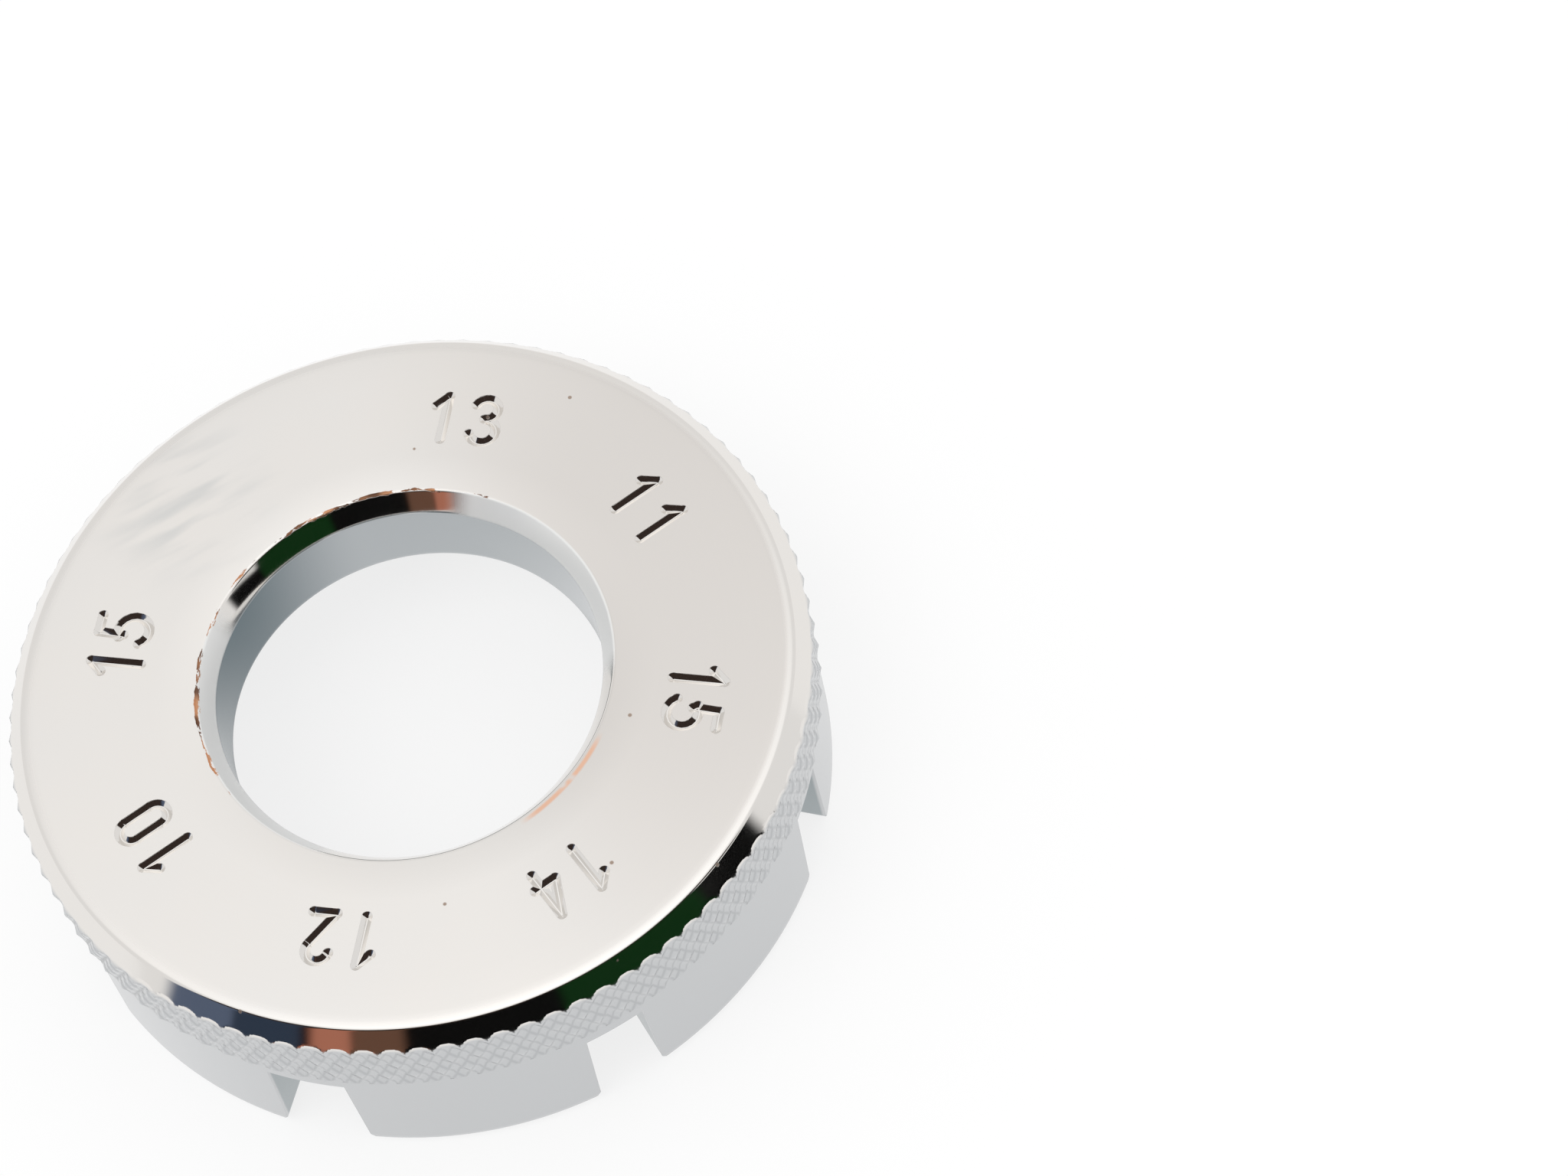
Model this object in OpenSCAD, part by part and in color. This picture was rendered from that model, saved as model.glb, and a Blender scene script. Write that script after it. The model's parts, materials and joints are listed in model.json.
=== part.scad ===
// Ring spoke wrench: a chromed disc with a bore, eight jaws and eight nipple slots.
// Millimetres. It stands on its jaw tips with the numbered face up, and Z is the bore axis.

/* [Disc] */
// Diameter over the knurl crests
band_d = 45; // [38:0.5:60]
// Thickness of the disc, from the recess floor to the numbered face
disc_t = 6.2; // [4.5:0.1:9]
// Diameter of the centre bore
bore_d = 21.6; // [12:0.1:25]
// Radial width of the bevel round the numbered face
bevel_w = 1; // [0.6:0.1:2]
// Height of that bevel
bevel_h = 1.3; // [0.6:0.1:2]
// Radial width of the bevel at the mouth of the bore
bore_bevel_w = 0.8; // [0.3:0.1:1.5]
// Depth of that bevel
bore_bevel_h = 1.2; // [0.3:0.1:1.6]
// Rounding of the bore where it meets the recess floor
bore_round = 0.8; // [0.2:0.1:1.2]

/* [Knurl] */
// Height of the knurled band below the bevel
knurl_h = 4; // [2.5:0.1:5]
// Grooves in each of the two crossing sets
knurl_n = 96; // [60:2:120]
// Depth of the grooves
knurl_deep = 0.25; // [0.15:0.05:0.5]
// Slant of the grooves from the bore axis, in degrees
knurl_slant = 30; // [20:1:45]
// How far the knurl stands out over the plain side below it
knurl_proud = 0.3; // [0.1:0.05:0.5]

/* [Jaws] */
// Height of the jaws, from the recess floor to the tips
jaw_h = 7.2; // [5:0.1:10]
// Radial thickness of the jaws
jaw_t = 3.8; // [2.5:0.1:6]
// Rounding of the inner and outer tip edges
tip_round = 0.9; // [0.3:0.1:1.2]

/* [Slots] */
// Width at the floor of the slot for 10 gauge nipples
slot_10 = 5.6; // [5.2:0.05:6]
// Width at the floor of the slot for 11 gauge nipples
slot_11 = 5; // [4.7:0.05:5.4]
// Width at the floor of the slot for 12 gauge nipples
slot_12 = 4.4; // [4.1:0.05:4.8]
// Width at the floor of the slot for 13 gauge nipples
slot_13 = 3.96; // [3.7:0.02:4.2]
// Width at the floor of the slot for 14 gauge nipples
slot_14 = 3.45; // [3.3:0.05:3.7]
// Width at the floor of the two slots for 15 gauge nipples
slot_15 = 3.25; // [3.1:0.05:3.4]
// Width at the floor of the slot without a number
slot_plain = 3.7; // [3.1:0.05:5.6]
// Height of the slot floors over the recess floor
slot_sill = 0.1; // [0.05:0.05:1]
// Draft of each slot wall, in degrees
slot_draft = 2; // [0:0.5:4]
// Sideways reach of the lead-in at the mouth of a slot
lead_w = 0.6; // [0.2:0.1:1]
// Height of that lead-in
lead_h = 1; // [0.3:0.1:1.5]

/* [Numbers] */
// Height of the digits
digit_h = 3.3; // [2:0.1:4.5]
// Width of a digit
digit_w = 1.7; // [1:0.1:2.2]
// Space between the two digits of a number
digit_gap = 0.75; // [0.4:0.05:1.2]
// Width of the stamped stroke
stroke_w = 0.42; // [0.3:0.02:0.7]
// Depth of the stamped stroke
stroke_deep = 0.25; // [0.1:0.05:0.5]
// Distance from the edge of the numbered face to the tops of the digits
number_edge = 3.5; // [0.5:0.1:4.5]
// Turn of the ring of numbers off the slots, in degrees
number_turn = 5.5; // [-10:0.5:10]

/* [Hidden] */
$fn = 128;

band_r = band_d / 2;
root_r = band_r - knurl_deep;
side_r = band_r - knurl_proud;
jaw_in_r = side_r - jaw_t;
face_r = band_r - bevel_w;
bore_r = bore_d / 2;
floor_z = jaw_h;
face_z = jaw_h + disc_t;
knurl_top = face_z - bevel_h;
knurl_foot = knurl_top - knurl_h;
number_r = face_r - number_edge - digit_h / 2;
// How far a cutter reaches past what it cuts
past = 1;

// The marked slots, counter-clockwise from +X seen from the numbered face; 0 has no number
slot_step = 45;
marks = [11, 13, 0, 15, 10, 12, 14, 15];
function slot_width(mark) =
    mark == 10 ? slot_10 :
    mark == 11 ? slot_11 :
    mark == 12 ? slot_12 :
    mark == 13 ? slot_13 :
    mark == 14 ? slot_14 :
    mark == 15 ? slot_15 : slot_plain;

// Sliver between a square corner and the circle that rounds it, the corner at the origin
module corner_sliver(round) {
    difference() {
        translate([-round, -round])
            square(2 * round);
        translate([round, round])
            circle(r = round);
        translate([round, -2 * round])
            square(4 * round);
        translate([-2 * round, round])
            square(4 * round);
    }
}

// Half section of the disc and the ring wall that the slots cut into jaws
module section() {
    difference() {
        union() {
            polygon([
                [bore_r, floor_z],
                [side_r, floor_z],
                [side_r, knurl_foot],
                [band_r, knurl_foot + knurl_proud],
                [band_r, knurl_top],
                [face_r, face_z],
                [bore_r + bore_bevel_w, face_z],
                [bore_r, face_z - bore_bevel_h],
            ]);
            translate([jaw_in_r, 0])
                square([jaw_t, floor_z + disc_t / 2]);
        }
        translate([bore_r, floor_z])
            corner_sliver(bore_round);
        translate([jaw_in_r, 0])
            corner_sliver(tip_round);
        translate([side_r, 0])
            mirror([1, 0])
                corner_sliver(tip_round);
    }
}

// One slot along +X: drafted walls and a lead-in at the mouth
module slot(width) {
    half = width / 2;
    slot_z = floor_z - slot_sill;
    spread = (slot_z - lead_h) * tan(slot_draft);
    mouth = half + spread + lead_w * (1 + past / lead_h);
    translate([jaw_in_r - past, 0, 0])
        rotate([90, 0, 90])
            linear_extrude(jaw_t + 2 * past)
                polygon([
                    [-half, slot_z],
                    [half, slot_z],
                    [half + spread, lead_h],
                    [mouth, -past],
                    [-mouth, -past],
                    [-half - spread, lead_h],
                ]);
}

module slots() {
    for (i = [0 : len(marks) - 1])
        rotate(slot_step * i)
            slot(slot_width(marks[i]));
}

// The space outside the knurl, as one ring. Its inner wall is a grid of points that stand by turns on the
// groove floors and on the peaks, so two slanted sets of V grooves cross there.
module knurl_space() {
    columns = 2 * knurl_n;
    row_h = PI * band_r / knurl_n / tan(knurl_slant);
    peak_r = band_r + knurl_deep / 5;
    outer_r = band_r + past;
    // One row of points lies at the foot of the face bevel, so the grooves cross there and scallop its edge
    rows_down = ceil((knurl_h + knurl_deep / 2) / row_h);
    rows_up = 1 + floor(knurl_deep * bevel_h / bevel_w / row_h);
    rows = rows_down + rows_up;
    start_z = knurl_top - rows_down * row_h;
    function on_floor(i, j) = (i + j + rows_down) % 2 == 0;
    function spot(i, r, z) = [r * cos(360 * i / columns), r * sin(360 * i / columns), z];
    inner = [
        for (j = [0 : rows], i = [0 : columns - 1])
            spot(i, on_floor(i, j) ? root_r : peak_r, start_z + j * row_h)
    ];
    outer = [
        for (j = [0, rows], i = [0 : columns - 1])
            spot(i, outer_r, start_z + j * row_h)
    ];
    function at(i, j) = j * columns + i % columns;
    function rim(i, j) = len(inner) + j * columns + i % columns;
    pyramid_sides = [
        for (j = [0 : rows - 1], i = [0 : columns - 1])
            each on_floor(i, j)
                ? [[at(i, j), at(i + 1, j), at(i + 1, j + 1)], [at(i, j), at(i + 1, j + 1), at(i, j + 1)]]
                : [[at(i, j), at(i + 1, j), at(i, j + 1)], [at(i + 1, j), at(i + 1, j + 1), at(i, j + 1)]]
    ];
    plain_walls = [
        for (i = [0 : columns - 1])
            each [
                [rim(i, 0), rim(i, 1), rim(i + 1, 1), rim(i + 1, 0)],
                [at(i, 0), rim(i, 0), rim(i + 1, 0), at(i + 1, 0)],
                [at(i, rows), at(i + 1, rows), rim(i + 1, 1), rim(i, 1)],
            ]
    ];
    polyhedron(concat(inner, outer), concat(pyramid_sides, plain_walls));
}

// Stroke through a list of points. Its round ends and corners are a little wider than the stroke, so that
// they cross its edges and don't only graze them.
module path(points) {
    for (k = [0 : len(points) - 1])
        translate(points[k])
            circle(d = stroke_w * 1.06);
    for (k = [0 : len(points) - 2]) {
        run = points[k + 1] - points[k];
        translate(points[k])
            rotate(atan2(run[1], run[0]))
                translate([0, -stroke_w / 2])
                    square([norm(run), stroke_w]);
    }
}

// Stroke along a circle, from one angle counter-clockwise to another, with plain ends
module bow(middle, r, start, end) {
    span = end - start;
    translate(middle)
        intersection() {
            difference() {
                circle(r = r + stroke_w / 2);
                circle(r = r - stroke_w / 2);
            }
            polygon(concat([[0, 0]], [
                for (k = [0 : 4])
                    3 * r * [cos(start + span * k / 4), sin(start + span * k / 4)]
            ]));
        }
}

// A point on such a circle
function on_bow(middle, r, angle) = middle + r * [cos(angle), sin(angle)];

// Each digit stands in a box from the origin to the middle lines of its outer strokes
dw = digit_w - stroke_w;
dh = digit_h - stroke_w;

module digit_0() {
    r = dw / 2;
    bow([r, dh - r], r, 0, 180);
    bow([r, r], r, 180, 360);
    path([[0, r], [0, dh - r]]);
    path([[dw, r], [dw, dh - r]]);
}

module digit_1() {
    stem = dw * 0.62;
    path([[stem, 0], [stem, dh], [dw * 0.12, dh * 0.76]]);
}

module digit_2() {
    r = dw / 2;
    middle = [r, dh - r];
    bow(middle, r, -40, 170);
    path([on_bow(middle, r, 170)]);
    path([on_bow(middle, r, -40), [0, 0], [dw, 0]]);
}

module digit_3() {
    top_r = dh * 0.23;
    low_r = dh / 2 - top_r;
    top = [dw / 2, dh - top_r];
    low = [dw / 2, low_r];
    bow(top, top_r, -90, 160);
    bow(low, low_r, -160, 90);
    path([on_bow(top, top_r, 160)]);
    path([on_bow(low, low_r, -160)]);
    path([on_bow(low, low_r, 90)]);
}

module digit_4() {
    stem = dw * 0.72;
    cross = dh * 0.3;
    path([[stem, 0], [stem, dh], [0, cross], [dw, cross]]);
}

module digit_5() {
    r = dh * 0.31;
    middle = [dw - r, r];
    bow(middle, r, -150, 120);
    path([on_bow(middle, r, -150)]);
    path([on_bow(middle, r, 120), [dw * 0.06, dh * 0.5], [dw * 0.14, dh], [dw * 0.96, dh]]);
}

module digit(value) {
    if (value == 0) digit_0();
    if (value == 1) digit_1();
    if (value == 2) digit_2();
    if (value == 3) digit_3();
    if (value == 4) digit_4();
    if (value == 5) digit_5();
}

// A two-digit number, its middle at the origin
module number(mark) {
    step = digit_w + digit_gap;
    translate([-(step + dw) / 2, -dh / 2]) {
        digit(floor(mark / 10));
        translate([step, 0])
            digit(mark % 10);
    }
}

module numbers() {
    for (i = [0 : len(marks) - 1])
        if (marks[i] > 0)
            rotate(slot_step * i + number_turn - 90)
                translate([0, number_r, face_z - stroke_deep])
                    linear_extrude(stroke_deep + past)
                        number(marks[i]);
}

// The whole wrench, one casting
module wrench_body() {
    color([0.82, 0.82, 0.81])
        difference() {
            rotate_extrude()
                section();
            slots();
            numbers();
            knurl_space();
        }
}

wrench_body();
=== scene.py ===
import json
import math

import bmesh
import bpy
from mathutils import Matrix, Quaternion, Vector


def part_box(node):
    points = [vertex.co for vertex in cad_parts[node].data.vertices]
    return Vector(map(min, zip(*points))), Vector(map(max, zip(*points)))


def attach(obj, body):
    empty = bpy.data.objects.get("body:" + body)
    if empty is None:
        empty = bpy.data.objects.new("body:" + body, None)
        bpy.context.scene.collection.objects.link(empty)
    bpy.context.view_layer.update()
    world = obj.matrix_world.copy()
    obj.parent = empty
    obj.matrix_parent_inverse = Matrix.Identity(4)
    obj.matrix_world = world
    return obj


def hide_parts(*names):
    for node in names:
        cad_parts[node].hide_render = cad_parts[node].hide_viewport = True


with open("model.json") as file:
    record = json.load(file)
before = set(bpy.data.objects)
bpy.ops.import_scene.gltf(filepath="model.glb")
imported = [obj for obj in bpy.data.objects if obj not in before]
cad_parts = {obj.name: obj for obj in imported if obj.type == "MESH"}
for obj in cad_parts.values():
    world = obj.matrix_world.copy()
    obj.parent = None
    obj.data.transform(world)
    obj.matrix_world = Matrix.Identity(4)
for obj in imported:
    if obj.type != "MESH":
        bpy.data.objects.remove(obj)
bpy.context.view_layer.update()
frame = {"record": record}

# Sizes of the casting, in millimetres, as its solid has them
MM = 0.001
NODE = "wrench_body"
MOUNTS = {mount["name"]: mount for mount in frame["record"]["mounts"]}
BOX_LOW, BOX_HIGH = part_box(NODE)
BAND_R = (BOX_HIGH.x - BOX_LOW.x) / 2 / MM
FACE_Z = BOX_HIGH.z / MM
BORE_R = MOUNTS["centre_bore"]["dims"]["r_mm"]
FLOOR_Z = 2 * MOUNTS["slot_10"]["pos_m"][2] / MM

# Bevels of the disc
BEVEL_W = 1.0
BEVEL_H = 1.3
BORE_BEVEL_W = 0.8
BORE_BEVEL_H = 1.2
FACE_R = BAND_R - BEVEL_W

# Rolled rim of the face, inside its bevel
ROLL_W = 0.5
ROLL_H = 0.06

# Knurled band, its grooves a little shallower than the solid's, with fine lines between them
KNURL_N = 96
KNURL_LINES = 2 * KNURL_N
KNURL_H = 4.0
KNURL_DEEP = 0.2
KNURL_SLANT = math.radians(30)
KNURL_PROUD = 0.3
GROOVE_SOFT = 0.1
LINE_WIDE = 0.22
KNURL_TOP = FACE_Z - BEVEL_H
KNURL_FOOT = KNURL_TOP - KNURL_H
# The sides of the grooves would meet a little past the band, so the ridges between them are flat
ROOT_R = BAND_R - KNURL_DEEP
PEAK_R = BAND_R + KNURL_DEEP / 5
ROW_H = math.pi * BAND_R / KNURL_N / math.tan(KNURL_SLANT)

# Jaws and slots
SIDE_R = BAND_R - KNURL_PROUD
JAW_T = 3.8
JAW_R = SIDE_R - JAW_T
TIP_ROUND = 0.9
SLOT_STEP = math.radians(45)
SLOT_MARKS = (11, 13, None, 15, 10, 12, 14, 15)
SLOT_WIDTHS = {10: 5.6, 11: 5.0, 12: 4.4, 13: 3.96, 14: 3.45, 15: 3.25, None: 3.7}
SLOT_DRAFT = math.tan(math.radians(2))
LEAD_W = 0.6
LEAD_H = 1.0

# Stamped numbers
DIGIT_H = 3.3
DIGIT_W = 1.7
DIGIT_GAP = 0.75
STROKE_W = 0.42
STROKE_MOUTH = 0.6
STROKE_FLOOR = 0.06
STROKE_DEEP = 0.23
STROKE_LIFT = STROKE_DEEP / 4
STROKE_FLARE = (STROKE_MOUTH - STROKE_FLOOR) / 2 / STROKE_DEEP
BOW_STEPS = 14
# Cones end the strokes, a touch wider and deeper than these, so that no two faces lie in one plane
CONE_EXTRA = 0.03 * STROKE_W
CONE_SIDES = 24
NUMBER_INSET = 3.5
NUMBER_R = FACE_R - NUMBER_INSET - DIGIT_H / 2
NUMBER_TURN = math.radians(5.5)
# The ring of the face that is stamped by itself, how thick it is, and how deep its top skin reaches
NUMBER_RING = (NUMBER_R - 2.4, NUMBER_R + 2.5)
RING_THICK = 1.0
SKIN_DEEP = 1.2 * STROKE_DEEP

# How far each kind of edge is eased, measured along its two sides
EDGE_EASE = 0.12
ROLL_EASE = 0.3
BORE_EASE = 0.14
BORE_ROUND = 0.8
ROOT_FILLET = 0.35
SLOT_EASE = 0.22
# Facets of an eased edge, of one that is eased by more than a limit, and of a slot's edge
EASE_STEPS = 4
ROUND_STEPS = 6
ROUND_LIMIT = 0.5
SLOT_EASE_STEPS = 3

# The round is cut into columns: 8 to each groove of the knurl, 12 to each half slot, whatever its width
COLUMNS = 8 * KNURL_N
SECTOR = COLUMNS // len(SLOT_MARKS)
SLOT_COLUMNS = 12
COLUMN_TURN = 2 * math.pi / COLUMNS
# Share of a jaw that its first and last columns take, to leave room for its eased edges
EDGE_SHARE = 0.04
# Rows of the outer side: to each half diamond of the knurl, on the bevel, on the band's foot and below it
KNURL_ROWS = 12
BEVEL_ROWS = 12
FOOT_ROWS = 2
SIDE_ROWS = 6
TINY = 1e-4
NEAR_COSINE = 0.9
SHARP_ANGLE = math.radians(34)

# Finish
PLATE_WARM = (0.80, 0.765, 0.725, 1)
PLATE_COOL = (0.775, 0.76, 0.74, 1)
# Painted shade: the face's plating darker on the side where less light falls
FACE_PAINTED_SHADE = (0.69, 0.66, 0.63, 1)
DULL_WHITE = (0.82, 0.82, 0.81, 1)
SIDE_GREY = (0.57, 0.58, 0.59, 1)
LINE_GREY = (0.48, 0.49, 0.50, 1)
# Painted shade on the slot walls and the recess inside the jaws
RECESS_PAINTED_SHADE = (0.33, 0.37, 0.385, 1)
# Painted shade in the bore: its wall greyer than the plating, and darker still on one arc
BORE_PAINTED_SHADE = (0.46, 0.485, 0.50, 1)
BORE_DEEPER_PAINTED_SHADE = (0.12, 0.16, 0.18, 1)
SMEAR_GREY = (0.66, 0.655, 0.64, 1)
SMEAR_PLACE = (math.radians(108), 17.5)
COPPER = (0.60, 0.30, 0.16, 1)
COPPER_DARK = (0.16, 0.08, 0.05, 1)
SPECK_BROWN = (0.44, 0.35, 0.29, 1)
STREAK_COPPER = (0.80, 0.50, 0.36, 1)

# Arcs about the bore: middle, half width and half of the full part, all in degrees; the first places painted
# shade on one side of the face, the second painted shade in the bore
FACE_PAINTED_SHADE_ARC = (-15, 90, 20)
BORE_DEEPER_SHADE_ARC = (155, 78, 18)
DULL_ARCS = ((8, 44, 34), (174, 50, 40))
STREAK_ARC = (291, 17, 10)
# Arcs of the bore's edge where copper shows: middle and half width in degrees, and how badly
WORN_ARCS = ((155, 50, 0.43), (72, 62, 0.46))
MOUTH_R = BORE_R + BORE_BEVEL_W
LIP_R = MOUTH_R + 0.05
LIP_REACH = 0.35
STREAK_R = MOUTH_R + 0.3
STREAK_REACH = 0.2

# Patterns of the finish: lumps to the millimetre, how far they are drawn out, and their soft limits
CLOUD_SCALE = 0.12
PEEL_SCALE = 0.55
RING_SCALE = 5.0
RING_WAVER = 0.4
WAVER_SCALE = 0.15
SMEAR_SCALE = 0.8
SMEAR_DRAW = 0.2
SMEAR_REACH = (6.5, 1.0)
SMEAR_LIMITS = (0.42, 0.72)
PIT_SCALE = 0.42
PIT_EDGE = (0.06, 0.035)
PIT_CHOICE = (0.55, 0.6)
FLAKE_SCALE = 2.2
FLAKE_DRAW = 0.3
FLAKE_LIMITS = (0.89, 0.93)
COPPER_LIMITS = (0.35, 0.6)
STREAK_SCALE = 0.5
STREAK_LIMITS = (0.38, 0.46)

# Roughness of the bright plating and what each finish adds to it, and the metal left where it is dull
BRIGHT_ROUGH = 0.05
FACE_ROUGH = 0.2
RING_ROUGH = 0.1
SIDE_ROUGH = 0.15
CLOUD_ROUGH = 0.04
WORN_ROUGH = 0.3
DULL_METAL = 0.3

# Heights of the bump, in thousandths of a millimetre
BUMP_UNIT = 0.001 * MM
RING_BUMP = 0.5
PEEL_BUMP = 3.0
LINE_BUMP = 10.0
PIT_BUMP = 2.0
COPPER_BUMP = 4.0

# Table, light and the mirrored room; angles in degrees, to the right of the camera or above the table
TABLE_SIZE = 1.5
TABLE_GLOW = 0.78
WHITE = (1, 1, 1, 1)
LAMP_PLACE = (-0.35, -0.1, 0.7)
LAMP_SIZE = 0.5
LAMP_POWER = 1.2
TENT_WHITE = (0.95, 0.95, 0.95, 1)
TENT_WALL = 0.9
TENT_ROOF = 1.4
ROOF_RISE = (45, 85)
ROOM_BLACK = (0.003, 0.003, 0.003, 1)
ROOM_PATCHES = (
    ((0.10, 0.13, 0.20, 1), -83, -65),
    ((0.03, 0.045, 0.075, 1), -65, -51),
    ((0.44, 0.17, 0.11, 1), -49, -40),
    ((0.14, 0.07, 0.045, 1), -40, -29),
    ((0.004, 0.028, 0.006, 1), 6, 43),
)
PATCH_SOFT = 1.5
PATCH_TOP = (26, 34)
ROOM_BROWN = (0.035, 0.024, 0.02, 1)
ROOM_SIDES = (-80, 62)
ROOM_SOFT = 2.0
ROOM_TOP = (52, 44)
# A lit pane at one side of the room, which the face mirrors when it is seen from behind
PANE_SIDES = (44, 66)
PANE_RISE = (13, 29)
PANE_WHITE = (0.75, 0.75, 0.74, 1)

# The photograph's camera
PHOTO_SIZE = (2048, 1536)
FACE_PIXEL = (528.3, 876.3)
CAMERA_AZIMUTH = math.radians(-9.15)
CAMERA_RISE = math.radians(58.61)
CAMERA_ROLL = math.radians(-21.39)
CAMERA_FAR = 252.69 * MM
LENS = 105.47
SENSOR_W = 36


def polar(angle, radius, height=0.0):
    """A point by its angle about the bore axis."""
    return Vector((radius * math.cos(angle), radius * math.sin(angle), height))


def wire_loop(mesh, points):
    """A closed line through the points, as vertices and edges."""
    corners = [mesh.verts.new(point) for point in points]
    edges = [mesh.edges.new((corners[i - 1], corners[i])) for i in range(len(corners))]
    return corners, edges


def turn_round(mesh):
    """Turns the closed line that the mesh holds about the bore axis: one sector, then its copies."""
    axis = {"cent": (0, 0, 0), "axis": (0, 0, 1)}
    line = mesh.verts[:] + mesh.edges[:]
    bmesh.ops.spin(mesh, geom=line, angle=SLOT_STEP, steps=SECTOR, use_duplicate=False, **axis)
    sector = mesh.verts[:] + mesh.edges[:] + mesh.faces[:]
    copies = len(SLOT_MARKS) - 1
    bmesh.ops.spin(mesh, geom=sector, angle=copies * SLOT_STEP, steps=copies, use_duplicate=True, **axis)
    bmesh.ops.remove_doubles(mesh, verts=mesh.verts[:], dist=TINY)
    bmesh.ops.recalc_face_normals(mesh, faces=mesh.faces[:])


def half_section(mesh):
    """The half section of the casting in the XZ plane, its corners eased."""
    corners = (
        (BORE_R, FLOOR_Z, BORE_ROUND),
        (BORE_R, FACE_Z - BORE_BEVEL_H, BORE_EASE),
        (BORE_R + BORE_BEVEL_W, FACE_Z, BORE_EASE),
        (NUMBER_RING[0], FACE_Z, 0),
        (NUMBER_RING[1], FACE_Z, 0),
        (FACE_R - ROLL_W, FACE_Z, ROLL_EASE),
        (FACE_R, FACE_Z - ROLL_H, EDGE_EASE),
        (BAND_R, KNURL_TOP, 0),
        (BAND_R, KNURL_FOOT + KNURL_PROUD, 0),
        (SIDE_R, KNURL_FOOT, 0),
        (SIDE_R, FLOOR_Z, 0),
        (SIDE_R, LEAD_H, 0),
        (SIDE_R, 0, TIP_ROUND),
        (JAW_R, 0, TIP_ROUND),
        (JAW_R, LEAD_H, 0),
        (JAW_R, FLOOR_Z, ROOT_FILLET),
    )
    edges = wire_loop(mesh, [(r, 0, z) for r, z, ease in corners])[1]
    split_knurl_rows(mesh, edges)
    for ease in sorted({ease for r, z, ease in corners if ease}):
        places = [Vector((r, 0, z)) for r, z, corner_ease in corners if corner_ease == ease]
        verts = [v for v in mesh.verts if any((v.co - place).length < TINY for place in places)]
        bmesh.ops.bevel(
            mesh, geom=verts, offset=ease, offset_type="OFFSET", affect="VERTICES",
            segments=ROUND_STEPS if ease > ROUND_LIMIT else EASE_STEPS, profile=0.5, material=-1,
        )


def split_knurl_rows(mesh, edges):
    """Cuts the section's outer line into the rows that the knurl needs."""
    band_foot = KNURL_FOOT + KNURL_PROUD
    by_heights = {
        (FACE_Z - ROLL_H, KNURL_TOP): BEVEL_ROWS,
        (KNURL_TOP, band_foot): round((KNURL_H - KNURL_PROUD) / ROW_H * KNURL_ROWS),
        (band_foot, KNURL_FOOT): FOOT_ROWS,
        (KNURL_FOOT, FLOOR_Z): SIDE_ROWS,
    }
    for edge in edges:
        heights = tuple(sorted((v.co.z for v in edge.verts), reverse=True))
        for (top, foot), rows in by_heights.items():
            outside = min(v.co.x for v in edge.verts) > NUMBER_RING[1]
            if outside and abs(heights[0] - top) < TINY and abs(heights[1] - foot) < TINY:
                bmesh.ops.subdivide_edges(mesh, edges=[edge], cuts=rows - 1)


def groove(turns):
    """Rise over one set of V grooves, one to a turn, from 0 on a soft groove floor to 1 between grooves."""
    rise = 2 * abs(turns - round(turns))
    return math.hypot(rise, GROOVE_SOFT) - GROOVE_SOFT


def knurl(mesh):
    """Rolls two sets of grooves into the band that cross at its top and run out on the bevel and the foot."""
    for vert in mesh.verts:
        radius = vert.co.xy.length
        if radius > ROOT_R - TINY:
            column = math.atan2(vert.co.y, vert.co.x) * KNURL_N / math.pi
            row = (vert.co.z - KNURL_TOP) / ROW_H
            rise = min(groove((column + row) / 2), groove((column - row) / 2))
            wanted = min(ROOT_R + (PEAK_R - ROOT_R) * rise, BAND_R)
            if wanted < radius:
                vert.co.xy *= wanted / radius


def slot_half_width(width, z):
    """Half the width of a slot at a height: drafted walls with a lead-in at the mouth."""
    drafted = width / 2 + SLOT_DRAFT * (FLOOR_Z - max(z, LEAD_H))
    return drafted + LEAD_W * max(0, LEAD_H - z) / LEAD_H


def jaw_angle(column, radius, z):
    """The angle of a column below the recess floor, where the columns run along the slot walls."""
    slot, place = divmod(column, SECTOR)
    here, there = (SLOT_WIDTHS[SLOT_MARKS[(slot + k) % len(SLOT_MARKS)]] for k in (0, 1))
    start = math.asin(slot_half_width(here, z) / radius)
    end = SLOT_STEP - math.asin(slot_half_width(there, z) / radius)
    if place <= SLOT_COLUMNS:
        inside = start * place / SLOT_COLUMNS
    elif place >= SECTOR - SLOT_COLUMNS:
        inside = SLOT_STEP - (SLOT_STEP - end) * (SECTOR - place) / SLOT_COLUMNS
    else:
        share = (place - SLOT_COLUMNS - 1) / (SECTOR - 2 * SLOT_COLUMNS - 2)
        inside = start + (end - start) * (EDGE_SHARE + (1 - 2 * EDGE_SHARE) * share)
    return slot * SLOT_STEP + inside


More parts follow.
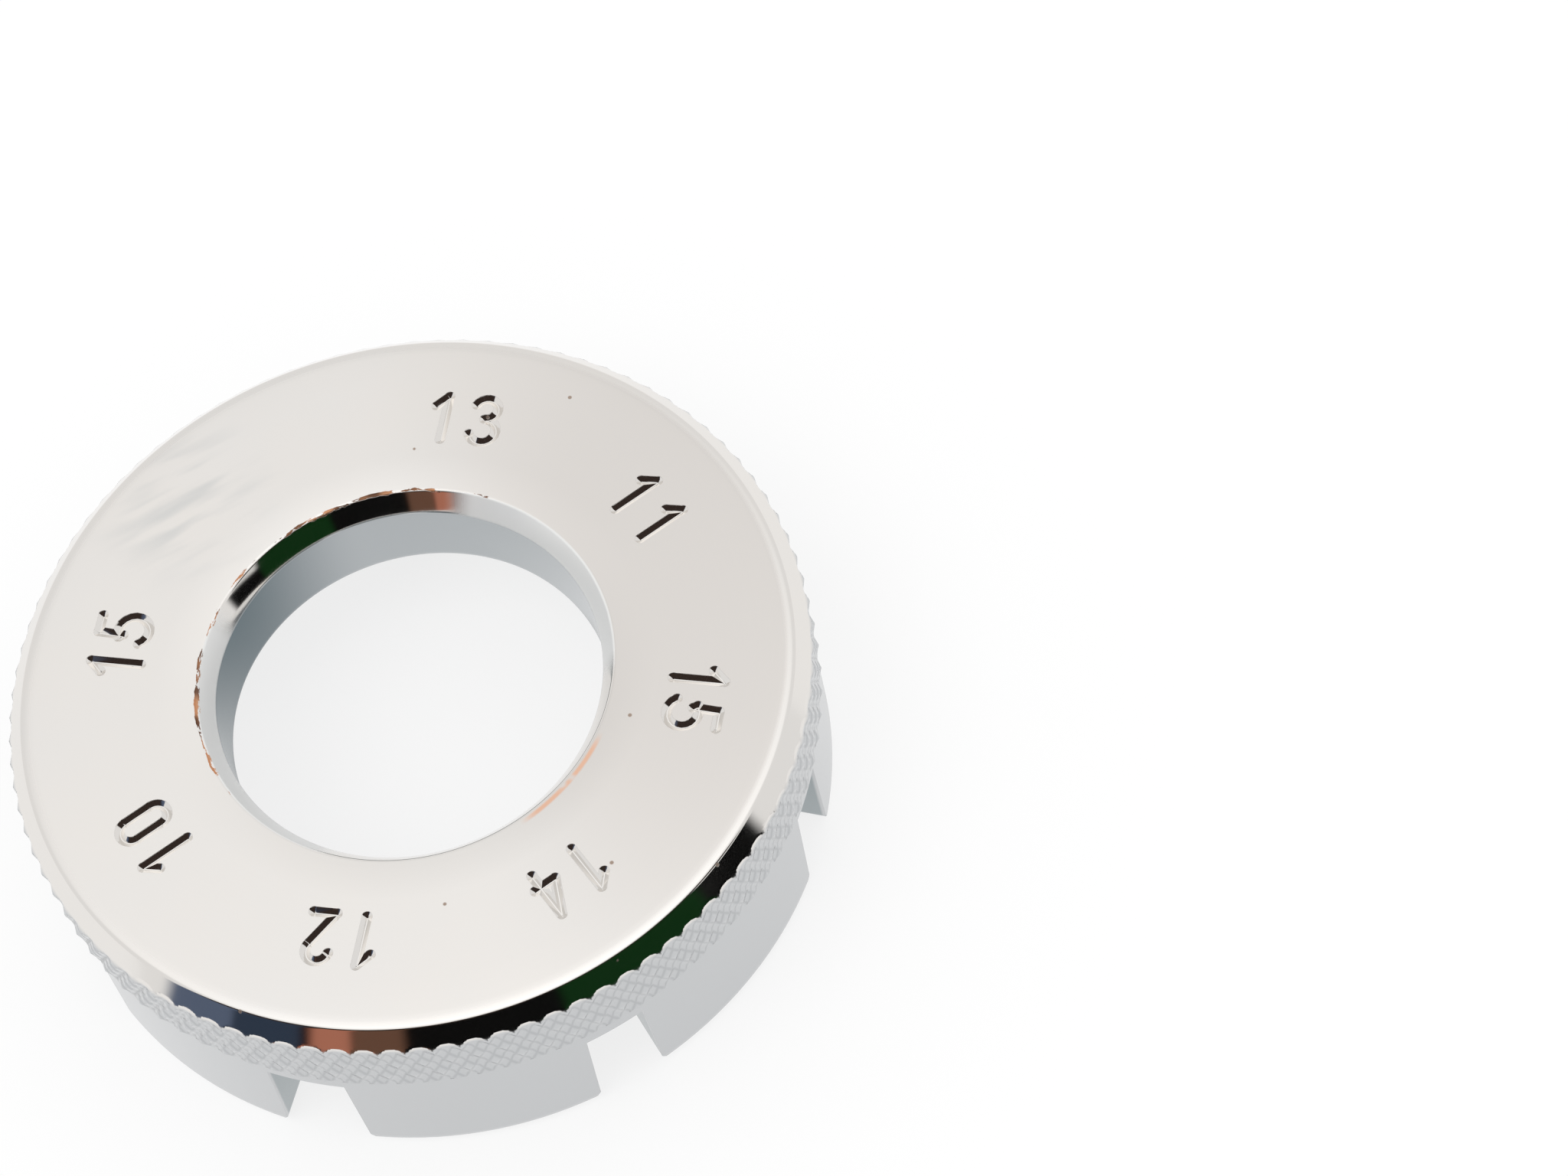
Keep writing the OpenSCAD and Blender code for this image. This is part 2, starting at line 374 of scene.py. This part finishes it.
def cut_slots(mesh):
    """Cuts the ring wall under the disc into eight jaws, with drafted slots between them."""
    wall_r = JAW_R - ROOT_FILLET - TINY
    low = [v for v in mesh.verts if v.co.z < FLOOR_Z + TINY and v.co.xy.length > wall_r]
    column_of = {v: round(math.atan2(v.co.y, v.co.x) / COLUMN_TURN) % COLUMNS for v in low}
    low_set = set(low)

    def in_slot(face):
        middle = face.calc_center_median()
        place = (math.atan2(middle.y, middle.x) / COLUMN_TURN) % SECTOR
        return min(place, SECTOR - place) < SLOT_COLUMNS and all(v in low_set for v in face.verts)

    gone = [face for face in mesh.faces if in_slot(face)]
    bmesh.ops.delete(mesh, geom=gone, context="FACES")
    for vert in low:
        if vert.is_valid:
            radius = vert.co.xy.length
            vert.co = polar(jaw_angle(column_of[vert], radius, vert.co.z), radius, vert.co.z)
    rims = [e for e in mesh.edges if e.is_boundary and all(abs(v.co.z - FLOOR_Z) < TINY for v in e.verts)]
    for slot in range(len(SLOT_MARKS)):
        towards = polar(slot * SLOT_STEP, 1)
        near = [e for e in rims if (e.verts[0].co + e.verts[1].co).normalized().dot(towards) > NEAR_COSINE]
        bmesh.ops.bridge_loops(mesh, edges=near)
    open_edges = [e for e in mesh.edges if e.is_boundary]
    walls = bmesh.ops.holes_fill(mesh, edges=open_edges, sides=0)["faces"]
    turns = [v for f in walls for v in f.verts if abs(v.co.z - LEAD_H) < TINY]
    creases = bmesh.ops.connect_verts(mesh, verts=turns)["edges"]
    ease_slot_edges(mesh, creases)


def ease_slot_edges(mesh, creases):
    """Rounds the outer edges of the slot walls, where they meet the jaws' sides and tips."""
    walls = {face for edge in creases for face in edge.link_faces}
    edges = {
        edge
        for face in walls
        for edge in face.edges
        if not walls.issuperset(edge.link_faces) and any(v.co.z < FLOOR_Z - TINY for v in edge.verts)
    }
    bmesh.ops.bevel(
        mesh, geom=list(edges), offset=SLOT_EASE, offset_type="OFFSET", affect="EDGES",
        segments=SLOT_EASE_STEPS, profile=0.5, material=-1, clamp_overlap=True,
    )


def vee_section(mesh, place):
    """The V of a stamped stroke, as a closed line across it with its mouth a little above the face."""
    low = STROKE_FLOOR / 2
    high = low + STROKE_FLARE * (STROKE_DEEP + STROKE_LIFT)
    points = ((-low, -STROKE_DEEP), (low, -STROKE_DEEP), (high, STROKE_LIFT), (-high, STROKE_LIFT))
    return wire_loop(mesh, [place @ Vector((across, 0, up)) for across, up in points])


def stamp_bow(mesh, place, middle, radius, start, end):
    """A stroke along a circle, from one angle in degrees to another."""
    start_turn = Matrix.Rotation(math.radians(start), 4, "Z")
    centre = place @ Matrix.Translation(middle)
    verts, edges = vee_section(mesh, centre @ start_turn @ Matrix.Translation((radius, 0, 0)))
    bmesh.ops.spin(
        mesh, geom=verts + edges, cent=centre.translation, axis=(0, 0, 1),
        angle=math.radians(end - start), steps=BOW_STEPS, use_duplicate=False,
    )


def stamp_path(mesh, place, points):
    """Straight strokes through a list of points, with a cone at each point."""
    depth = STROKE_DEEP + STROKE_LIFT + CONE_EXTRA
    foot_r = STROKE_FLOOR / 2 + CONE_EXTRA * (1 - STROKE_FLARE)
    for point in points:
        middle = Vector((*point, depth / 2 - STROKE_DEEP - CONE_EXTRA))
        bmesh.ops.create_cone(
            mesh, cap_ends=True, cap_tris=False, segments=CONE_SIDES, radius1=foot_r,
            radius2=foot_r + STROKE_FLARE * depth, depth=depth, matrix=place @ Matrix.Translation(middle),
        )
    for start, end in zip(points, points[1:]):
        run = Vector((end[0] - start[0], end[1] - start[1], 0))
        along = Matrix.Rotation(math.atan2(run.y, run.x) - math.pi / 2, 4, "Z")
        verts, edges = vee_section(mesh, place @ Matrix.Translation((*start, 0)) @ along)
        made = bmesh.ops.extrude_edge_only(mesh, edges=edges)["geom"]
        ends = [item for item in made if isinstance(item, bmesh.types.BMVert)]
        bmesh.ops.translate(mesh, verts=ends, vec=place.to_3x3() @ run)


def on_bow(middle, radius, angle):
    """A point on a stroke's circle."""
    turn = math.radians(angle)
    return middle[0] + radius * math.cos(turn), middle[1] + radius * math.sin(turn)


def digit_strokes():
    """Each digit's bows and paths, in a box from the origin to the middle lines of its outer strokes."""
    w = DIGIT_W - STROKE_W
    h = DIGIT_H - STROKE_W
    half = w / 2
    stem = 0.62 * w
    two = (half, h - half)
    top_r = 0.23 * h
    low_r = h / 2 - top_r
    top, low = (half, h - top_r), (half, low_r)
    post, cross = 0.72 * w, 0.3 * h
    five_r = 0.31 * h
    five = (w - five_r, five_r)
    two_start, two_end = -40, 170
    low_start, top_end = -160, 160
    five_start, five_end = -150, 120
    bows = {
        0: [((half, h - half), half, 0, 180), ((half, half), half, 180, 360)],
        2: [(two, half, two_start, two_end)],
        3: [(top, top_r, -90, top_end), (low, low_r, low_start, 90)],
        5: [(five, five_r, five_start, five_end)],
    }
    paths = {
        0: [[(0, half), (0, h - half)], [(w, half), (w, h - half)]],
        1: [[(stem, 0), (stem, h), (0.12 * w, 0.76 * h)]],
        2: [[on_bow(two, half, two_end)], [on_bow(two, half, two_start), (0, 0), (w, 0)]],
        3: [[on_bow(top, top_r, top_end)], [on_bow(low, low_r, low_start)], [on_bow(low, low_r, 90)]],
        4: [[(post, 0), (post, h), (0, cross), (w, cross)]],
        5: [
            [on_bow(five, five_r, five_start)],
            [on_bow(five, five_r, five_end), (0.06 * w, 0.5 * h), (0.14 * w, h), (0.96 * w, h)],
        ],
    }
    return bows, paths


def number_stamps():
    """The stamps of all the numbers, in their places on the face, as closed V bars."""
    mesh = bmesh.new()
    bows, paths = digit_strokes()
    step = DIGIT_W + DIGIT_GAP
    corner = Vector((-(step + DIGIT_W - STROKE_W) / 2, NUMBER_R - (DIGIT_H - STROKE_W) / 2, FACE_Z))
    for slot, mark in enumerate(SLOT_MARKS):
        turn = Matrix.Rotation(slot * SLOT_STEP + NUMBER_TURN - math.pi / 2, 4, "Z")
        for place, digit in enumerate(divmod(mark, 10) if mark else ()):
            spot = turn @ Matrix.Translation(corner + Vector((place * step, 0, 0)))
            for middle, radius, start, end in bows.get(digit, ()):
                stamp_bow(mesh, spot, (*middle, 0), radius, start, end)
            for points in paths[digit]:
                stamp_path(mesh, spot, points)
    bmesh.ops.holes_fill(mesh, edges=[e for e in mesh.edges if e.is_boundary], sides=0)
    bmesh.ops.recalc_face_normals(mesh, faces=mesh.faces[:])
    return mesh


def scratch_object(name, mesh):
    """An object that is only used to make another one."""
    data = bpy.data.meshes.new(name)
    mesh.to_mesh(data)
    mesh.free()
    made = bpy.data.objects.new(name, data)
    bpy.context.scene.collection.objects.link(made)
    return made


def stamped_ring():
    """A ring of the face with the numbers stamped into it, as mesh data: its top skin and a plain back."""
    mesh = bmesh.new()
    inner, outer = NUMBER_RING
    back = FACE_Z - RING_THICK
    wire_loop(mesh, [(inner, 0, FACE_Z), (outer, 0, FACE_Z), (outer, 0, back), (inner, 0, back)])
    turn_round(mesh)
    ring = scratch_object("ring", mesh)
    stamps = scratch_object("stamps", number_stamps())
    cut = ring.modifiers.new("stamp", "BOOLEAN")
    cut.operation = "DIFFERENCE"
    cut.solver = "EXACT"
    cut.use_self = True
    cut.object = stamps
    view = bpy.context.evaluated_depsgraph_get()
    stamped = bpy.data.meshes.new_from_object(ring.evaluated_get(view))
    bpy.data.objects.remove(ring)
    bpy.data.objects.remove(stamps)
    return stamped


def stamp_numbers(mesh):
    """Puts the stamped ring in the place of the face's plain one."""
    plain = [
        face for face in mesh.faces
        if all(abs(v.co.z - FACE_Z) < TINY for v in face.verts)
        and NUMBER_RING[0] < face.calc_center_median().xy.length < NUMBER_RING[1]
    ]
    bmesh.ops.delete(mesh, geom=plain, context="FACES")
    casting_faces = set(mesh.faces)
    mesh.from_mesh(stamped_ring())
    back = [
        face for face in mesh.faces
        if face not in casting_faces and face.calc_center_median().z < FACE_Z - SKIN_DEEP
    ]
    bmesh.ops.delete(mesh, geom=back, context="FACES")
    bmesh.ops.remove_doubles(mesh, verts=mesh.verts[:], dist=TINY)


def casting():
    """The whole casting: the turned section, slotted, knurled and stamped."""
    mesh = bmesh.new()
    half_section(mesh)
    turn_round(mesh)
    cut_slots(mesh)
    knurl(mesh)
    stamp_numbers(mesh)
    bmesh.ops.recalc_face_normals(mesh, faces=mesh.faces[:])
    bmesh.ops.scale(mesh, verts=mesh.verts[:], vec=(MM, MM, MM))
    made = scratch_object("wrench_casting", mesh)
    made.data.polygons.foreach_set("use_smooth", [True] * len(made.data.polygons))
    made.data.set_sharp_from_angle(angle=SHARP_ANGLE)
    even = made.modifiers.new("even shading", "WEIGHTED_NORMAL")
    even.keep_sharp = True
    return made


class Link:
    """A node's output. Sums on it add Math nodes, and node() adds any other node to the same tree."""

    def __init__(self, tree, socket=None):
        self.tree = tree
        self.socket = socket

    def node(self, kind, settings=None, sockets=None, give=0):
        """A new node with its settings and its sockets' values or links, by one of its outputs."""
        made = self.tree.nodes.new(kind)
        for name, value in (settings or {}).items():
            setattr(made, name, value)
        for name, value in (sockets or {}).items():
            if isinstance(value, Link):
                self.tree.links.new(value.socket, made.inputs[name])
            else:
                made.inputs[name].default_value = value
        return Link(self.tree, made.outputs[give] if made.outputs else None)

    def output(self, name):
        """Another output of the same node."""
        return Link(self.tree, self.socket.node.outputs[name])

    def math(self, operation, *values):
        """A Math node on the values, which may be links or numbers."""
        return self.node("ShaderNodeMath", {"operation": operation}, dict(enumerate(values)))

    def __add__(self, other):
        return self.math("ADD", self, other)

    def __sub__(self, other):
        return self.math("SUBTRACT", self, other)

    def __rsub__(self, other):
        return self.math("SUBTRACT", other, self)

    def __mul__(self, other):
        return self.math("MULTIPLY", self, other)

    def __truediv__(self, other):
        return self.math("DIVIDE", self, other)

    def __pow__(self, power):
        return self.math("POWER", self, power)

    def __abs__(self):
        return self.math("ABSOLUTE", self)

    __radd__ = __add__
    __rmul__ = __mul__

    def step(self, low, high):
        """A soft step from 0 at low to 1 at high, or down where high is under low."""
        sockets = {"Value": self, "From Min": low, "From Max": high}
        return self.node("ShaderNodeMapRange", {"interpolation_type": "SMOOTHSTEP"}, sockets)

    def mix(self, low, high):
        """A colour between two others, with this value as the share of the second."""
        return self.node("ShaderNodeMix", {"data_type": "RGBA"}, {0: self, 6: low, 7: high}, give=2)

    def noise(self, where, scale, detail=2.0, roughness=0.5):
        """Noise over a place in millimetres, about one lump to each 1/scale."""
        sockets = {"Vector": where, "Scale": scale, "Detail": detail, "Roughness": roughness}
        return self.node("ShaderNodeTexNoise", None, sockets, give="Fac")


def fresh_material(name):
    """An empty node material and the start of its tree."""
    made = bpy.data.materials.new(name)
    made.use_nodes = True
    made.node_tree.nodes.clear()
    return made, Link(made.node_tree)


def casting_place(tree):
    """A place on the casting in millimetres: the vector, its parts and its distance from the bore axis."""
    place = tree.node("ShaderNodeTexCoord", None, None, give="Object")
    place = tree.node("ShaderNodeVectorMath", {"operation": "SCALE"}, {"Vector": place, "Scale": 1 / MM})
    x = tree.node("ShaderNodeSeparateXYZ", None, {"Vector": place}, give="X")
    y = x.output("Y")
    return place, x, y, x.output("Z"), (x * x + y * y) ** 0.5


def arc(x, y, middle, half, full=0):
    """0 past the ends of an arc about the bore axis and 1 near its middle, all in degrees."""
    towards = polar(math.radians(middle), 1)
    cosine = (x * towards.x + y * towards.y) / (x * x + y * y) ** 0.5
    return cosine.step(math.cos(math.radians(half)), math.cos(math.radians(full)))


def window(value, low, high, soft):
    """1 where a value lies between two limits, with soft ends."""
    return value.step(low - soft, low + soft) * value.step(high + soft, high - soft)


def knurl_lines(x, y, z):
    """The fine lines between the knurl's grooves, in two sets that cross."""
    per_mm = KNURL_LINES / (2 * math.pi * BAND_R)
    turn = x.math("ARCTAN2", y, x) * (per_mm * BAND_R)
    climb = z * (per_mm * math.tan(KNURL_SLANT))
    rising, falling = (phase.math("PINGPONG", phase, 0.5) for phase in (turn + climb, turn - climb))
    return rising.math("MINIMUM", rising, falling).step(LINE_WIDE, 0.0)


def turning_rings(tree, place, radius):
    """The rings that the turning tool left on the face, wavering a little."""
    waver = radius + RING_WAVER * tree.noise(place, WAVER_SCALE)
    sockets = {"W": waver, "Scale": RING_SCALE, "Detail": 3.0, "Roughness": 0.6}
    return tree.node("ShaderNodeTexNoise", {"noise_dimensions": "1D"}, sockets, give="Fac")


def smear(tree, place, x, y):
    """A wiped smear on the face, drawn out along X."""
    wiped = tree.node("ShaderNodeCombineXYZ", None, {"X": SMEAR_DRAW * x, "Y": y})
    middle = polar(*SMEAR_PLACE, FACE_Z)
    reach = tree.node("ShaderNodeVectorMath", {"operation": "DISTANCE"}, {0: place, 1: middle}, give="Value")
    return reach.step(*SMEAR_REACH) * tree.noise(wiped, SMEAR_SCALE).step(*SMEAR_LIMITS)


def pits(tree, place):
    """Small pits, a few to each square centimetre."""
    cells = tree.node("ShaderNodeTexVoronoi", None, {"Vector": place, "Scale": PIT_SCALE}, give="Distance")
    chosen = tree.node("ShaderNodeSeparateColor", None, {"Color": cells.output("Color")}, give="Red")
    return cells.step(*PIT_EDGE) * chosen.step(*PIT_CHOICE)


def plating_flakes(tree, x, y, z, radius):
    """Where the plating has come off, in flakes drawn out round the bore."""
    along = x.math("ARCTAN2", y, x) * BORE_R
    drawn = tree.node("ShaderNodeCombineXYZ", None, {"X": FLAKE_DRAW * along, "Y": radius, "Z": z})
    return tree.noise(drawn, FLAKE_SCALE, detail=4.0, roughness=0.7)


def chrome_plate():
    """Chrome over copper on a turned casting: satin face, bright bevels, greyer sides, worn bore edges, and
    painted shade on one side of the face, on the slot walls and in the bore.
    """
    made, tree = fresh_material("chrome_plate")
    place, x, y, z, radius = casting_place(tree)
    cloud = tree.noise(place, CLOUD_SCALE, detail=3.0)
    peel = tree.noise(place, PEEL_SCALE, detail=1.0)

    # Where each finish lies, with edges that are soft by tenths of a millimetre
    mouth_z = FACE_Z - BORE_BEVEL_H
    face = z.step(FACE_Z - 0.03, FACE_Z - 0.006)
    rings = face * turning_rings(tree, place, radius)
    # The bore's wall, which takes painted shade
    bore = radius.step(BORE_R + 0.25, BORE_R + 0.1) * z.step(mouth_z + 0.1, mouth_z - 0.1)
    mouth = radius.step(MOUTH_R + 0.1, MOUTH_R) * z.step(mouth_z - 0.1, mouth_z + 0.1)
    side = z.step(KNURL_TOP + 0.3, KNURL_TOP)
    band = side * z.step(KNURL_FOOT - 0.1, KNURL_FOOT + 0.4) * radius.step(SIDE_R - 0.2, SIDE_R)
    lines = band * knurl_lines(x, y, z)
    # The slot walls and the recess inside the jaws, which take painted shade
    inside = radius.step(SIDE_R - 0.1, SIDE_R - 0.3) * window(z, LEAD_H, FLOOR_Z - 0.2, 0.2)
    dull = mouth * sum(arc(x, y, *span) for span in DULL_ARCS)
    specks = (1 - side) * pits(tree, place)

    # Copper where the plating has worn off the bore's edge
    flakes = plating_flakes(tree, x, y, z, radius)
    worn = sum(arc(x, y, middle, half) * badly for middle, half, badly in WORN_ARCS)
    lip = abs(radius - LIP_R).step(LIP_REACH, 0.0) * z.step(FACE_Z - 0.6, FACE_Z - 0.2)
    copper = (flakes + worn * lip).step(*FLAKE_LIMITS)
    streak = face * arc(x, y, *STREAK_ARC) * abs(radius - STREAK_R).step(STREAK_REACH, 0.05)
    streak = streak * tree.noise(place, STREAK_SCALE).step(*STREAK_LIMITS)

    # One finish over another, from the bare plating up, with painted shade on one side of the face, on the
    # slot walls and in the bore
    colour = cloud.mix(PLATE_WARM, PLATE_COOL)
    # Painted shade over one side of the face
    colour = (face * arc(x, y, *FACE_PAINTED_SHADE_ARC)).mix(colour, FACE_PAINTED_SHADE)
    colour = (face * smear(tree, place, x, y)).mix(colour, SMEAR_GREY)
    colour = side.mix(colour, lines.mix(SIDE_GREY, LINE_GREY))
    # Painted shade on the slot walls and in the recess
    colour = inside.mix(colour, RECESS_PAINTED_SHADE)
    # Painted shade in the bore, deeper on one arc
    colour = bore.mix(colour, arc(x, y, *BORE_DEEPER_SHADE_ARC).mix(BORE_PAINTED_SHADE, BORE_DEEPER_PAINTED_SHADE))
    colour = dull.mix(colour, DULL_WHITE)
    colour = specks.mix(colour, SPECK_BROWN)
    colour = copper.mix(colour, peel.step(*COPPER_LIMITS).mix(COPPER_DARK, COPPER))
    colour = streak.mix(colour, STREAK_COPPER)
    rough = BRIGHT_ROUGH + face * FACE_ROUGH + rings * RING_ROUGH + side * SIDE_ROUGH + cloud * CLOUD_ROUGH
    rough = rough + (copper + dull + specks) * WORN_ROUGH
    height = rings * RING_BUMP + (1 - face) * peel * PEEL_BUMP
    height = height - lines * LINE_BUMP - specks * PIT_BUMP - copper * COPPER_BUMP
    bump = tree.node("ShaderNodeBump", None, {"Strength": 1.0, "Distance": BUMP_UNIT, "Height": height})
    shader = tree.node(
        "ShaderNodeBsdfPrincipled", None,
        {"Base Color": colour, "Metallic": 1 - (1 - DULL_METAL) * dull, "Roughness": rough, "Normal": bump},
    )
    tree.node("ShaderNodeOutputMaterial", None, {"Surface": shader})
    return made


def table():
    """A white table top under the jaws, seen and mirrored a little whiter than it is lit."""
    mesh = bmesh.new()
    bmesh.ops.create_grid(mesh, x_segments=1, y_segments=1, size=TABLE_SIZE)
    made = scratch_object("table", mesh)
    material, tree = fresh_material("white_table")
    rays = tree.node("ShaderNodeLightPath", None, None, give="Is Camera Ray")
    seen = rays + rays.output("Is Glossy Ray") + rays.output("Is Transmission Ray")
    lit = tree.node("ShaderNodeBsdfDiffuse", None, {"Color": TENT_WHITE})
    glow = tree.node("ShaderNodeEmission", None, {"Color": WHITE, "Strength": 1.0})
    shader = tree.node("ShaderNodeMixShader", None, {0: TABLE_GLOW * seen, 1: lit, 2: glow})
    tree.node("ShaderNodeOutputMaterial", None, {"Surface": shader})
    made.data.materials.append(material)


def studio():
    """A white tent, with the dim room in front of it that only the plating mirrors."""
    world = bpy.data.worlds.new("white_tent")
    world.use_nodes = True
    world.node_tree.nodes.clear()
    bpy.context.scene.world = world
    tree = Link(world.node_tree)
    way = tree.node("ShaderNodeTexCoord", None, None, give="Generated")
    front = polar(CAMERA_AZIMUTH - math.pi / 2, 1)
    right = polar(CAMERA_AZIMUTH, 1)
    ahead, across = (
        tree.node("ShaderNodeVectorMath", {"operation": "DOT_PRODUCT"}, {0: way, 1: axis}, give="Value")
        for axis in (front, right)
    )
    side = ahead.math("ARCTAN2", across, ahead) * math.degrees(1)
    up = tree.node("ShaderNodeSeparateXYZ", None, {"Vector": way}, give="Z")
    rise = up.math("ARCSINE", up) * math.degrees(1)
    room = ROOM_BLACK
    for colour, start, end in ROOM_PATCHES:
        room = window(side, start, end, PATCH_SOFT).mix(room, colour)
    room = rise.step(*PATCH_TOP).mix(room, ROOM_BROWN)
    pane = window(side, *PANE_SIDES, ROOM_SOFT) * window(rise, *PANE_RISE, PATCH_SOFT)
    room = pane.mix(room, PANE_WHITE)
    dim = window(side, *ROOM_SIDES, ROOM_SOFT) * rise.step(*ROOM_TOP)
    bright = TENT_WALL + (TENT_ROOF - TENT_WALL) * rise.step(*ROOF_RISE)
    tent = tree.node("ShaderNodeCombineColor", None, {"Red": bright, "Green": bright, "Blue": bright})
    mirrored = dim.mix(tent, room)
    glossy = tree.node("ShaderNodeLightPath", None, None, give="Is Glossy Ray")
    light = glossy.mix(TENT_WHITE, mirrored)
    sky = tree.node("ShaderNodeBackground", None, {"Color": light, "Strength": 1.0})
    tree.node("ShaderNodeOutputWorld", None, {"Surface": sky})


def softbox():
    """One wide lamp up on the left, which gives the shadows their side."""
    lamp = bpy.data.lights.new("softbox", "AREA")
    lamp.shape = "DISK"
    lamp.size = LAMP_SIZE
    lamp.energy = LAMP_POWER
    made = bpy.data.objects.new("softbox", lamp)
    made.location = LAMP_PLACE
    made.rotation_euler = (-Vector(LAMP_PLACE)).to_track_quat("-Z", "Y").to_euler()
    made.visible_glossy = False
    bpy.context.scene.collection.objects.link(made)


def camera():
    """The photograph's camera: turned so that the face's middle falls on its pixel."""
    data = bpy.data.cameras.new("camera")
    data.sensor_width = SENSOR_W
    data.lens = LENS
    made = bpy.data.objects.new("camera", data)
    aim = Vector((0, 0, FACE_Z * MM))
    flat = math.cos(CAMERA_RISE)
    back = polar(CAMERA_AZIMUTH - math.pi / 2, flat, math.sin(CAMERA_RISE))
    focal = PHOTO_SIZE[0] * LENS / SENSOR_W
    ray = Vector((FACE_PIXEL[0] - PHOTO_SIZE[0] / 2, PHOTO_SIZE[1] / 2 - FACE_PIXEL[1], -focal))
    pan = Vector((0, 0, -1)).rotation_difference(ray)
    roll = Quaternion((0, 0, 1), CAMERA_ROLL)
    made.rotation_mode = "QUATERNION"
    made.rotation_quaternion = (-back).to_track_quat("-Z", "Y") @ roll @ pan.inverted()
    made.location = aim + back * CAMERA_FAR
    bpy.context.scene.collection.objects.link(made)
    bpy.context.scene.camera = made


wrench = casting()
wrench.data.materials.append(chrome_plate())
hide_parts(NODE)
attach(wrench, "root")
table()
studio()
softbox()
camera()
bpy.context.scene.view_settings.view_transform = "Standard"
